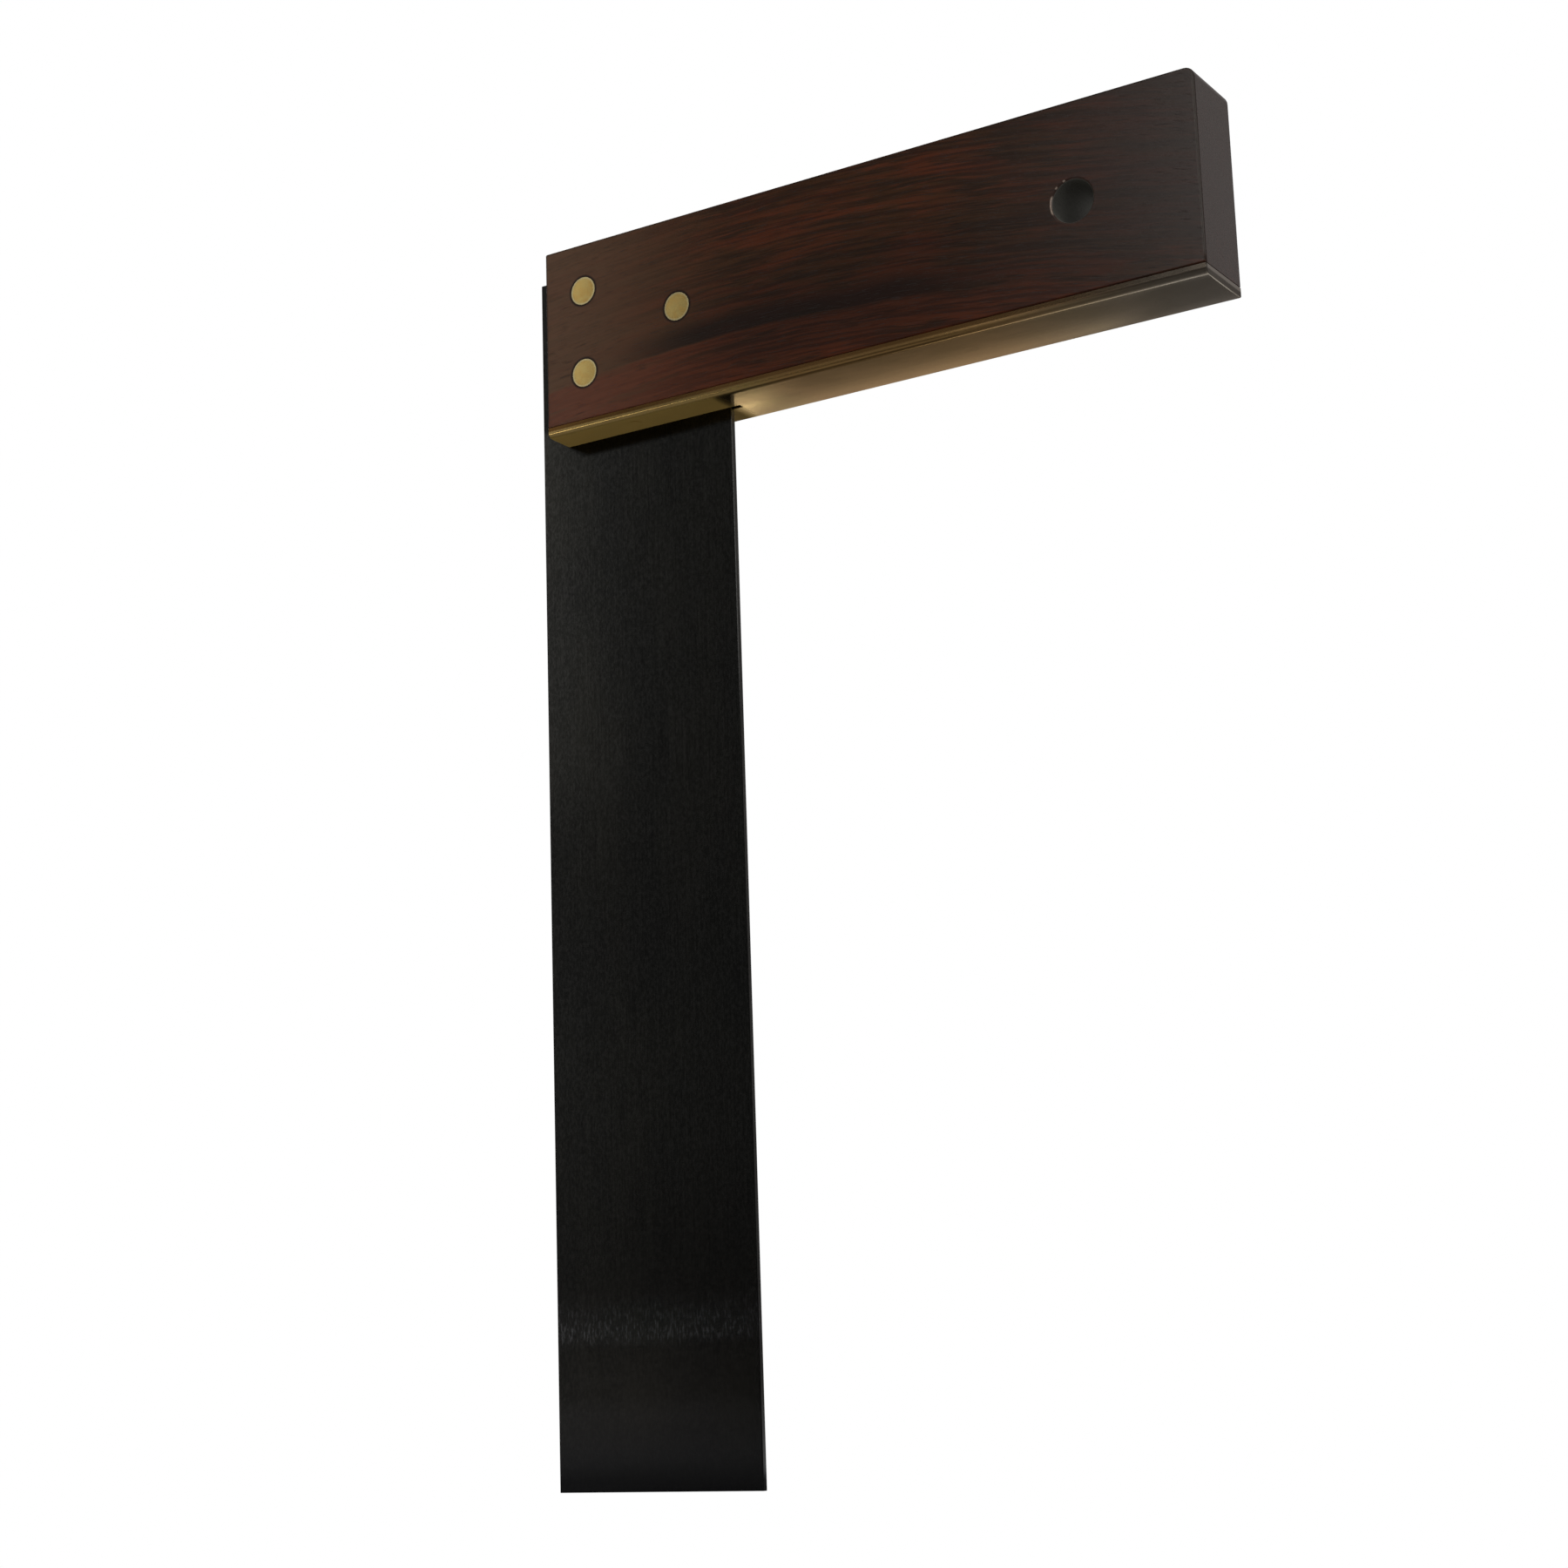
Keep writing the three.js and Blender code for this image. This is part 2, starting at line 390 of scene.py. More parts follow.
def add_rivet(name, material):
    """A rivet whose ends are spread into the washers and filed to a faint crown."""
    low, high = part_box("rivet_" + name)
    head = (high.x - low.x) / 2
    half = (high.y - low.y) / 2
    head_depth = COUNTERSINK_DEPTH - SEAM_GAP
    front = [
        (0, -half),
        (0.6 * head, 0.3 * RIVET_CROWN - half),
        (head, RIVET_CROWN - half),
        (SHANK_RADIUS, head_depth - half),
    ]
    back = [(radius, -height) for radius, height in reversed(front)]
    piece = turned("rivet_" + name + "_brass", middle(low, high), front + back)
    finish_piece(piece, material, "rivet_" + name)


def add_washer(name, side, material):
    """A washer let in flush. side is -1 on the front face and +1 on the back face."""
    node = ("washer_front_" if side < 0 else "washer_back_") + name
    low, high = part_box("rivet_" + name)
    head = (high.x - low.x) / 2 + SEAM_GAP
    hole = SHANK_RADIUS + SEAM_GAP
    outer = washer_radius(name)
    face = BACK_Y - RIVET_CROWN
    inner = BACK_Y - WASHER_THICKNESS
    countersink = BACK_Y - COUNTERSINK_DEPTH
    profile = [(hole, inner), (outer, inner), (outer, face), (head, face), (hole, countersink)]
    profile = [(radius, side * height) for radius, height in profile]
    piece = turned(node + "_brass", rivet_place(name), profile)
    finish_piece(piece, material, node)


def add_pin(name, material):
    """A face plate pin, its head filed flush with the working face."""
    node = "plate_pin_" + name
    piece = turned(node + "_brass", pin_place(name), pin_profile(name, 0), upright_axis=True)
    finish_piece(piece, material, node)


# --------------------------------------------------------------------------------------------------
# Materials
# --------------------------------------------------------------------------------------------------

# The mix node has sockets for numbers, vectors and colours. These are the share's and the colours' ones.
MIX_COLOUR_INPUTS = (0, 6, 7)
MIX_COLOUR_OUTPUT = 2


class Material:
    """A Principled material and short calls that add nodes to it. Each call gives back an output socket."""

    def __init__(self, name):
        self.material = bpy.data.materials.new(name)
        self.material.use_nodes = True
        self.tree = self.material.node_tree
        self.shader = self.tree.nodes["Principled BSDF"]

    def node(self, kind, *inputs, **settings):
        """A node with its settings changed, and its inputs set or linked in order."""
        made = self.tree.nodes.new(kind)
        for key, value in settings.items():
            setattr(made, key, value)
        for socket, value in zip(made.inputs, inputs):
            self.join(value, socket)
        return made

    def join(self, value, socket):
        """Links the socket where value is an output socket, and sets it where value is a plain value."""
        if isinstance(value, bpy.types.NodeSocket):
            self.tree.links.new(value, socket)
        else:
            socket.default_value = value

    def position(self):
        """The place on the object, in millimetres."""
        metres = self.node("ShaderNodeTexCoord").outputs["Object"]
        scaled = self.node("ShaderNodeVectorMath", operation="SCALE")
        self.join(metres, scaled.inputs["Vector"])
        self.join(1 / MM, scaled.inputs["Scale"])
        return scaled.outputs["Vector"]

    def split(self, vector):
        """The X, Y and Z of a vector."""
        return self.node("ShaderNodeSeparateXYZ", vector).outputs

    def joined(self, x, y, z):
        """A vector made of X, Y and Z."""
        return self.node("ShaderNodeCombineXYZ", x, y, z).outputs[0]

    def math(self, operation, *values):
        """One step of arithmetic on numbers or sockets."""
        return self.node("ShaderNodeMath", *values, operation=operation).outputs[0]

    def plus(self, a, b):
        return self.math("ADD", a, b)

    def minus(self, a, b):
        return self.math("SUBTRACT", a, b)

    def times(self, a, b):
        return self.math("MULTIPLY", a, b)

    def most(self, a, b):
        return self.math("MAXIMUM", a, b)

    def rise(self, value, low, high, start=0.0, end=1.0):
        """A smooth step: start where value is at or below low, end where it is at or above high."""
        made = self.node("ShaderNodeMapRange", value, low, high, start, end)
        made.interpolation_type = "SMOOTHSTEP"
        return made.outputs[0]

    def fall(self, value, low, high, start=1.0, end=0.0):
        """The same step going down, from 1 to 0 unless told otherwise."""
        return self.rise(value, low, high, start, end)

    def between(self, value, foot, top, far_top, far_foot):
        """1 from top to far_top, falling smoothly to 0 at foot and at far_foot."""
        return self.times(self.rise(value, foot, top), self.fall(value, far_top, far_foot))

    def noise(self, vector, repeats, detail=3.0, roughness=0.55, distortion=0.0):
        """Noise from 0 to 1, whose features repeat repeats times a millimetre along X, Y and Z."""
        moved = self.node("ShaderNodeVectorMath", vector, repeats, operation="MULTIPLY").outputs[0]
        made = self.node("ShaderNodeTexNoise")
        self.join(moved, made.inputs["Vector"])
        self.join(1.0, made.inputs["Scale"])
        self.join(detail, made.inputs["Detail"])
        self.join(roughness, made.inputs["Roughness"])
        self.join(distortion, made.inputs["Distortion"])
        return made.outputs[0]

    def mix(self, share, a, b):
        """Colour a where share is 0 and colour b where it is 1."""
        made = self.node("ShaderNodeMix", data_type="RGBA")
        for index, value in zip(MIX_COLOUR_INPUTS, (share, a, b)):
            self.join(value, made.inputs[index])
        return made.outputs[MIX_COLOUR_OUTPUT]

    def bump(self, height, distance, strength):
        """A normal roughened by height, which is distance metres deep."""
        made = self.node("ShaderNodeBump")
        self.join(height, made.inputs["Height"])
        self.join(distance, made.inputs["Distance"])
        self.join(strength, made.inputs["Strength"])
        return made.outputs[0]

    def from_axis(self, position, centre):
        """How far a place is from the line along Y through centre, in millimetres."""
        x, _, z = self.split(position)
        across = self.minus(x, centre.x / MM)
        above = self.minus(z, centre.z / MM)
        return self.math("SQRT", self.plus(self.times(across, across), self.times(above, above)))

    def arrises(self, position, low, high, width):
        """1 on the arrises of the box from low to high, falling to 0 within width millimetres of them."""
        gaps = []
        for axis, value in enumerate(self.split(position)):
            to_low = self.minus(value, low[axis] / MM)
            to_high = self.minus(high[axis] / MM, value)
            gaps.append(self.math("MINIMUM", to_low, to_high))
        smaller = self.math("MINIMUM", gaps[0], gaps[1])
        larger = self.most(gaps[0], gaps[1])
        second_smallest = self.most(smaller, self.math("MINIMUM", larger, gaps[2]))
        return self.fall(second_smallest, 0.0, width)

    def set(self, **values):
        """Sets or links the shader's inputs, named with underscores for spaces."""
        for name, value in values.items():
            self.join(value, self.shader.inputs[name.replace("_", " ")])
        return self.material


def colour(red, green, blue):
    """An opaque colour in linear light."""
    return (red, green, blue, 1.0)


# --- rosewood ---

HEEL_BROWN = colour(0.245, 0.125, 0.065)
BROWN = colour(0.115, 0.043, 0.013)
HEEL_RED = colour(0.310, 0.104, 0.054)
RED = colour(0.195, 0.045, 0.013)
FLECK_RED = colour(0.27, 0.062, 0.026)
DIM_BROWN = colour(0.024, 0.010, 0.006)
FIGURE_BLACK = colour(0.011, 0.006, 0.005)
PORE_BLACK = colour(0.012, 0.008, 0.007)
WASHER_RING_BLACK = colour(0.020, 0.007, 0.004)
FREE_END_GREY = colour(0.062, 0.046, 0.042)
# A paler rim colour, partly wear and partly painted highlight.
RIM_WORN_AND_LIT = colour(0.15, 0.10, 0.085)
# Painted glint on the hanging hole's rim.
GLINT_PALE = colour(0.95, 0.75, 0.62)
# Painted light and shade in the hanging hole's bore: lighter at the front, darker at the back.
BORE_LIT_GREY = colour(0.24, 0.24, 0.22)
BORE_SHADED_GREY = colour(0.14, 0.14, 0.13)
DARK_ARRIS = colour(0.02, 0.012, 0.010)
# Pale free-end arris colour, partly wear and partly painted highlight.
PALE_ARRIS_WORN_AND_LIT = colour(0.215, 0.195, 0.18)
DARK_END_GRAIN = colour(0.052, 0.030, 0.028)
PALE_END_GRAIN = colour(0.105, 0.064, 0.058)

# Places of painted glints on the hanging hole's rim, in millimetres across and above its middle
GLINT_SPOTS = ((-3.4, 3.5), (-1.6, 4.5))


def growth_space(wood, place, from_heel):
    """X, Y and the height above a growth surface, in millimetres, and that height by itself.

    Each growth surface is a low arch, highest near the blade, that leans a little through the thickness.
    """
    crest_from_heel = 48.0
    crest_height = 13.0
    crest_spread = 29.3  # the arch is 1 mm lower this far from its crest
    lean_through_thickness = 0.35
    wander_height = 1.6
    x, y, z = wood.split(place)
    from_crest = wood.math("DIVIDE", wood.minus(from_heel, crest_from_heel), crest_spread)
    arch = wood.minus(crest_height, wood.times(from_crest, from_crest))
    lean = wood.times(wood.minus(y, FRONT_Y / MM), lean_through_thickness)
    wander = wood.minus(wood.noise(place, (0.05, 0.1, 0.12), detail=2.0), 0.5)
    wander = wood.times(wander, wander_height)
    level = wood.plus(wood.minus(z, arch), wood.plus(lean, wander))
    return wood.joined(x, y, level), level


def brown_and_red(wood, grain, level, from_heel, streaks, figured):
    """Pale brown by the heel, then brown streaked with red, and a redder band along the bottom."""
    patches = wood.noise(grain, (0.035, 0.12, 0.16), detail=2.0)
    reddish = wood.plus(wood.times(streaks, 0.45), wood.times(patches, 0.55))
    streaked = wood.times(wood.rise(reddish, 0.42, 0.62), figured)
    red_band = wood.times(wood.fall(level, -0.5, 0.4), wood.rise(streaks, 0.3, 0.5, 0.35, 1.0))
    by_heel = wood.fall(from_heel, 0.0, 55.0)
    brown = wood.mix(by_heel, BROWN, HEEL_BROWN)
    red = wood.mix(by_heel, RED, HEEL_RED)
    return wood.mix(wood.most(streaked, red_band), brown, red)


def red_flecks(wood, base, grain, figured):
    """Short bright flecks in the figured wood."""
    flecks = wood.noise(grain, (0.11, 1.1, 1.3), detail=2.0, roughness=0.6)
    share = wood.times(wood.rise(flecks, 0.56, 0.68, 0.0, 0.45), figured)
    return wood.mix(share, base, FLECK_RED)


def dark_middle(wood, base, z, from_heel):
    """A darker stretch along the lower middle of the stock."""
    share = wood.between(z, 2.0, 8.0, 20.0, 32.0)
    share = wood.times(share, wood.rise(from_heel, 30.0, 60.0))
    share = wood.times(share, wood.fall(from_heel, 90.0, 130.0, 0.45, 0.2))
    return wood.mix(share, base, DIM_BROWN)


def dark_figure(wood, base, grain, level, from_heel, streaks, fine, figured):
    """Near-black lines and blotches, and a blackish band above the red one."""
    lines = wood.noise(grain, (0.035, 1.2, 1.15), detail=2.0, roughness=0.5, distortion=0.15)
    line_share = wood.times(wood.fall(lines, 0.38, 0.56), figured)
    blotch_share = wood.times(wood.fall(wood.plus(streaks, fine), 0.76, 1.03, 0.6, 0.0), figured)
    black_band = wood.between(level, -0.3, 0.5, 2.5, 7.0)
    black_band = wood.times(black_band, wood.rise(from_heel, 10.0, 42.0))
    black_band = wood.times(black_band, wood.fall(from_heel, 85.0, 125.0, 1.0, 0.2))
    share = wood.most(wood.times(line_share, 0.55), blotch_share)
    share = wood.most(share, wood.times(black_band, 0.8))
    return wood.mix(share, base, FIGURE_BLACK)


def greyer_free_end(wood, base, z, from_heel):
    """The free end is greyer, less so near the brass."""
    near_end = wood.rise(from_heel, 95.0, 150.0, 0.0, 0.7)
    above_brass = wood.rise(z, 4.0, 14.0, 0.5, 1.0)
    return wood.mix(wood.times(near_end, above_brass), base, FREE_END_GREY)


def washer_rings(wood, base, place):
    """A dark ring is painted in the wood round each washer."""
    for name in RIVET_NAMES:
        radius = washer_radius(name) / MM
        from_rivet = wood.from_axis(place, rivet_place(name))
        ring = wood.fall(from_rivet, radius + 0.2, radius + 0.75, 0.9, 0.0)
        base = wood.mix(ring, base, WASHER_RING_BLACK)
    return base


def hanging_hole_finish(wood, base, place, from_hole):
    """The hole is painted a dull grey inside, lighter near its front opening, as painted light and shade.
    Its rim is paler, partly worn and partly painted highlight, and has painted glints in places towards the
    heel.
    """
    x, y, z = wood.split(place)
    radius = HOLE_RADIUS / MM
    # The rim is painted paler all round, partly worn finish and partly painted highlight.
    rim = wood.fall(from_hole, radius + 0.38, radius + 0.48)
    base = wood.mix(wood.times(rim, 0.7), base, RIM_WORN_AND_LIT)

    # Painted glints: a bright crescent on the rim's chamfer towards the heel, and two small spots above it.
    across = wood.minus(x, HOLE_CENTRE.x / MM)
    above = wood.minus(z, HOLE_CENTRE.z / MM)
    painted_glint = wood.times(wood.between(above, -2.2, -1.4, 1.6, 2.2), wood.fall(across, -4.2, -3.8))
    for spot_across, spot_above in GLINT_SPOTS:
        spot = HOLE_CENTRE + Vector((spot_across, 0, spot_above)) * MM
        painted_glint = wood.most(painted_glint, wood.fall(wood.from_axis(place, spot), 0.15, 0.4))
    on_chamfer = wood.times(rim, wood.rise(from_hole, radius + 0.12, radius + 0.24))
    base = wood.mix(wood.times(painted_glint, on_chamfer), base, GLINT_PALE)

    # Painted light and shade: the bore is lighter grey at its front opening and darker towards the back.
    deep = wood.rise(y, FRONT_Y / MM, BACK_Y / MM)
    bore_grey = wood.mix(deep, BORE_LIT_GREY, BORE_SHADED_GREY)
    return wood.mix(wood.fall(from_hole, radius + 0.05, radius + 0.1), base, bore_grey)


def stock_edges(wood, base, place):
    """The arrises are dark with polish, but the free end's are pale, partly worn and partly painted
    highlight; its end grain is worn pale too.
    """
    free_end = FREE_X / MM
    x, _, z = wood.split(place)
    # The free end's arrises are painted pale, partly wear and partly a painted highlight standing in for
    # their missing sheen.
    worn_and_lit = wood.rise(x, free_end - 6.0, free_end - 1.0)
    arris_colour = wood.mix(worn_and_lit, DARK_ARRIS, PALE_ARRIS_WORN_AND_LIT)
    above_brass = wood.rise(z, 3.0, 5.0)
    arris = wood.times(wood.arrises(place, stock_low, stock_high, 0.8), above_brass)
    base = wood.mix(wood.times(arris, 0.85), base, arris_colour)

    end_grain = wood.rise(x, free_end - 0.2, free_end - 0.02)
    speckle = wood.rise(wood.noise(place, (0.5, 2.2, 2.2), detail=3.0), 0.35, 0.65)
    end_colour = wood.mix(speckle, DARK_END_GRAIN, PALE_END_GRAIN)
    return wood.mix(wood.times(end_grain, 0.7), base, end_colour)


def rosewood():
    """Satin-finished rosewood: flat-sawn figure that arches along the stock, fine streaks and open pores."""
    wood = Material("rosewood")
    place = wood.position()
    x, _, z = wood.split(place)
    from_heel = wood.minus(x, HEEL_X / MM)
    from_hole = wood.from_axis(place, HOLE_CENTRE)
    grain, level = growth_space(wood, place, from_heel)
    streaks = wood.noise(grain, (0.05, 0.5, 0.55), detail=3.0, roughness=0.6, distortion=0.3)
    fine = wood.noise(grain, (0.12, 2.5, 3.2), detail=3.0, roughness=0.65)
    pores = wood.fall(wood.noise(grain, (0.25, 4.5, 5.5), detail=2.0, roughness=0.5), 0.32, 0.42)
    figured = wood.rise(from_heel, 15.0, 60.0, 0.2, 1.0)

    base = brown_and_red(wood, grain, level, from_heel, streaks, figured)
    base = red_flecks(wood, base, grain, figured)
    base = dark_middle(wood, base, z, from_heel)
    base = dark_figure(wood, base, grain, level, from_heel, streaks, fine, figured)
    base = greyer_free_end(wood, base, z, from_heel)
    base = washer_rings(wood, base, place)
    base = hanging_hole_finish(wood, base, place, from_hole)
    base = wood.mix(wood.times(pores, 0.5), base, PORE_BLACK)
    base = stock_edges(wood, base, place)

    unpolished = wood.fall(from_hole, HOLE_RADIUS / MM + 0.01, HOLE_RADIUS / MM + 0.04, 0.5, 0.0)
    roughness = wood.plus(wood.times(fine, 0.12), 0.14)
    roughness = wood.plus(roughness, wood.times(pores, 0.2))
    roughness = wood.plus(roughness, unpolished)
    relief = wood.minus(wood.times(fine, 0.4), pores)
    normal = wood.bump(relief, 0.01 * MM, 0.3)
    return wood.set(Base_Color=base, Roughness=roughness, Specular_IOR_Level=0.38, Normal=normal)


# --- brass ---

SCRATCH_BROWN = colour(0.36, 0.25, 0.11)
FILED_BRASS = colour(1.0, 0.76, 0.28)
FILED_BRASS_DEEP = colour(0.97, 0.65, 0.20)
BRIGHT_BRASS = colour(1.0, 0.95, 0.62)
YELLOW_BRASS = colour(0.86, 0.62, 0.24)
BLOTCHED_BRASS = colour(0.76, 0.51, 0.20)
RUDDY_BRASS = colour(0.86, 0.52, 0.21)
FREE_END_BRASS = colour(0.47, 0.44, 0.40)
# Lighter yellow for the strips beside the blade, partly their lapped finish and partly painted light.
LIT_LAPPED_BRASS = colour(1.0, 0.72, 0.23)
END_BRASS = colour(0.30, 0.27, 0.235)
HEEL_TARNISH = colour(0.16, 0.07, 0.016)
MIDDLE_TARNISH = colour(0.34, 0.18, 0.065)
END_TARNISH = colour(0.065, 0.052, 0.040)


def rubbed_brass(name, brushing):
    """Brass rubbed with fine abrasive, its scratches repeating brushing times a millimetre along X, Y and Z.

    Gives back the material, the place, the scratches and the blotches of tarnish.
    """
    metal = Material(name)
    place = metal.position()
    scratches = metal.noise(place, brushing, detail=4.0, roughness=0.7)
    blotches = metal.rise(metal.noise(place, (0.09, 0.2, 0.2), detail=3.0), 0.35, 0.75)
    return metal, place, scratches, blotches


def rivet_brass():
    """The brass of the rivets and washers, filed flush and brightest round the washers' edges."""
    metal, place, scratches, blotches = rubbed_brass("rivet_brass", (2.0, 2.0, 6.0))
    mottle = metal.rise(metal.noise(place, (0.9, 0.9, 0.9), detail=3.0), 0.38, 0.62)
    mottle = metal.plus(metal.times(mottle, 0.7), metal.times(blotches, 0.3))
    base = metal.mix(mottle, FILED_BRASS, FILED_BRASS_DEEP)
    base = metal.mix(metal.fall(scratches, 0.3, 0.7, 0.06, 0.0), base, SCRATCH_BROWN)
    for name in RIVET_NAMES:
        radius = washer_radius(name) / MM
        from_rivet = metal.from_axis(place, rivet_place(name))
        rim = metal.between(from_rivet, radius - 0.5, radius - 0.2, radius + 0.5, radius + 1.0)
        base = metal.mix(metal.times(rim, 0.55), base, BRIGHT_BRASS)
    roughness = metal.plus(metal.times(scratches, 0.1), 0.17)
    normal = metal.bump(scratches, 0.003 * MM, 0.5)
    return metal.set(Base_Color=base, Metallic=1.0, Roughness=roughness, Normal=normal)


def lapped_brass(metal, x, scratches, blotches):
    """The plate's brass: yellow by the blade, redder beyond it, and greyer towards the free end."""
    free_end = FREE_X / MM
    base = metal.mix(blotches, YELLOW_BRASS, BLOTCHED_BRASS)
    base = metal.mix(metal.fall(scratches, 0.3, 0.7, 0.25, 0.0), base, SCRATCH_BROWN)
    ruddy = metal.times(metal.rise(x, 8.0, 20.0), metal.fall(x, 60.0, 95.0, 0.7, 0.0))
    base = metal.mix(ruddy, base, RUDDY_BRASS)
    towards_free_end = metal.rise(x, free_end - 60.0, free_end, 0.0, 0.9)
    return metal.mix(towards_free_end, base, FREE_END_BRASS)


def plate_tarnish(metal, x):
    """The plate's tarnish: dark brown by the heel, lighter in the middle and grey at the free end."""
    tarnish = metal.mix(metal.rise(x, -30.0, 10.0), HEEL_TARNISH, MIDDLE_TARNISH)
    return metal.mix(metal.rise(x, 50.0, 105.0), tarnish, END_TARNISH)


def plate_brass():
    """Brass lapped lengthwise, bright on the plate's working face and arrises and tarnished elsewhere."""
    metal, place, scratches, blotches = rubbed_brass("plate_brass", (0.05, 5.0, 5.0))
    free_end = FREE_X / MM
    x, _, z = metal.split(place)
    base = lapped_brass(metal, x, scratches, blotches)

    # The tarnish comes further down towards the free end, whose end face is dull.
    tarnish = plate_tarnish(metal, x)
    height = metal.plus(z, metal.rise(x, 50.0, 105.0, 0.0, 0.5))
    base = metal.mix(metal.rise(height, 1.1, 1.65, 0.0, 0.9), base, tarnish)
    end_face = metal.rise(x, free_end - 0.2, free_end - 0.05, 0.0, 0.9)
    base = metal.mix(end_face, base, END_BRASS)

    # Work never rubs the strips beside the blade, which keep the dull yellow of their lapping. That yellow
    # is lighter than the rest, as painted light.
    beside_blade = metal.times(metal.fall(x, -1.0, 3.0), metal.fall(z, 0.1, 0.6))
    base = metal.mix(metal.times(beside_blade, 0.9), base, LIT_LAPPED_BRASS)
    drawn = metal.plus(metal.times(beside_blade, 0.7), 0.3)
    across = metal.node("ShaderNodeTangent", direction_type="RADIAL", axis="X").outputs[0]

    # The front arris is bright by the heel. Beyond the blade it is painted darker towards the tarnish as
    # painted shade, and dulls.
    arris = metal.between(z, 0.05, 0.3, 1.1, 1.5)
    arris_painted_shade = metal.plus(metal.rise(x, 0.0, 20.0, 0.0, 0.3), metal.rise(x, 50.0, 100.0, 0.0, 0.2))
    base = metal.mix(metal.times(arris, arris_painted_shade), base, tarnish)
    dull_arris = metal.times(arris, metal.rise(x, 40.0, 85.0, 0.0, 0.35))

    roughness = metal.plus(metal.times(scratches, 0.12), 0.09)
    roughness = metal.plus(roughness, dull_arris)
    roughness = metal.plus(roughness, metal.times(blotches, 0.04))
    roughness = metal.plus(roughness, metal.times(beside_blade, 0.32))
    normal = metal.bump(scratches, 0.004 * MM, 0.35)
    metal.set(Anisotropic=drawn, Tangent=across)
    return metal.set(Base_Color=base, Metallic=1.0, Roughness=roughness, Normal=normal)


# --- blued steel ---

COOL_BLACK = colour(0.044, 0.046, 0.045)
WARM_BLACK = colour(0.058, 0.059, 0.054)
GROUND_BLACK = colour(0.022, 0.022, 0.023)
MOTTLE_GREY = colour(0.13, 0.13, 0.13)
MOTTLE_BLACK = colour(0.014, 0.014, 0.015)
# Painted shade for the lower blade, and the grey of painted reflection bands near its tip.
LOWER_SHADE_BLACK = colour(0.012, 0.012, 0.013)
REFLECTION_GREY = colour(0.18, 0.19, 0.215)
# Painted shadow: the black of the stock's shadow on the blade.
SHADOW_BLACK = colour(0.009, 0.009, 0.009)
ARRIS_BLACK = colour(0.006, 0.006, 0.006)
# Painted highlight on the blade's inner edge near the stock.
GLINT_STEEL = colour(0.22, 0.22, 0.22)


def ground_steel(metal, place, grinding):
    """Heat-blued steel, almost black, clouded and mottled between its grinding lines."""
    clouds = metal.noise(place, (0.05, 0.1, 0.02), detail=3.0)
    mottle = metal.noise(place, (2.4, 2.4, 1.3), detail=2.0, roughness=0.6)
    base = metal.mix(metal.rise(clouds, 0.3, 0.7), COOL_BLACK, WARM_BLACK)
    base = metal.mix(metal.fall(grinding, 0.3, 0.7, 0.5, 0.0), base, GROUND_BLACK)
    base = metal.mix(metal.rise(mottle, 0.42, 0.7, 0.0, 0.25), base, MOTTLE_GREY)
    return metal.mix(metal.fall(mottle, 0.3, 0.48, 0.25, 0.0), base, MOTTLE_BLACK)


def tip_reflection_bands(metal, base, place, z):
    """The lower blade is painted darker as painted shade, with two paler painted reflection bands across it,
    the upper one flecked.
    """
    base = metal.mix(metal.fall(z, -190.0, -140.0, 0.5, 0.0), base, LOWER_SHADE_BLACK)
    upper = metal.between(z, -196.5, -193.5, -193.0, -184.0)
    flecks = metal.noise(place, (2.6, 2.6, 0.7), detail=2.0)
    flecked = metal.times(upper, metal.rise(flecks, 0.50, 0.70, 0.05, 0.5))
    lower = metal.times(metal.fall(z, -211.0, -204.5), metal.fall(z, -225.0, -210.0, 0.30, 0.08))
    return metal.mix(metal.most(flecked, lower), base, REFLECTION_GREY)


def painted_stock_shadow(metal, base, x, z):
    """A painted shadow of the stock, darkening the blade just under it, less so towards its inner edge."""
    heel = HEEL_X / MM
    slant = 1.33  # the patch's heel end leans this many millimetres inwards for each one down
    from_corner = metal.plus(x, metal.times(z, slant))
    shadow_share = metal.times(metal.rise(z, -3.6, -2.4), metal.rise(from_corner, heel - 0.6, heel + 0.4))
    shadow_share = metal.times(shadow_share, metal.fall(x, -18.0, -2.0, 0.6, 0.25))
    return metal.mix(shadow_share, base, SHADOW_BLACK)


def blued_steel():
    """Blackish heat-blued spring steel, ground lengthwise, with dark arrises."""
    metal = Material("blued_steel")
    place = metal.position()
    x, _, z = metal.split(place)
    grinding = metal.noise(place, (3.2, 3.2, 0.05), detail=4.0, roughness=0.7)
    base = ground_steel(metal, place, grinding)
    # Paints shade on the lower blade and reflection bands near the tip.
    base = tip_reflection_bands(metal, base, place, z)
    # Paints the stock's shadow on the blade just under the stock.
    base = painted_stock_shadow(metal, base, x, z)

    # A painted highlight brightens the inner edge near the stock.
    painted_glint = metal.times(metal.rise(z, -75.0, -50.0), metal.rise(x, -30.0, -10.0))
    arris_colour = metal.mix(painted_glint, ARRIS_BLACK, GLINT_STEEL)
    arris = metal.times(metal.arrises(place, blade_low, blade_high, 0.25), 0.85)
    base = metal.mix(arris, base, arris_colour)

    roughness = metal.plus(metal.times(grinding, 0.1), 0.105)
    roughness = metal.plus(roughness, metal.times(arris, metal.rise(painted_glint, 0.0, 1.0, 0.45, 0.1)))
    normal = metal.bump(grinding, 0.003 * MM, 0.6)
    return metal.set(Base_Color=base, Metallic=1.0, Roughness=roughness, Normal=normal)


# --------------------------------------------------------------------------------------------------
# Stage: floor, surroundings, lights and camera
# --------------------------------------------------------------------------------------------------

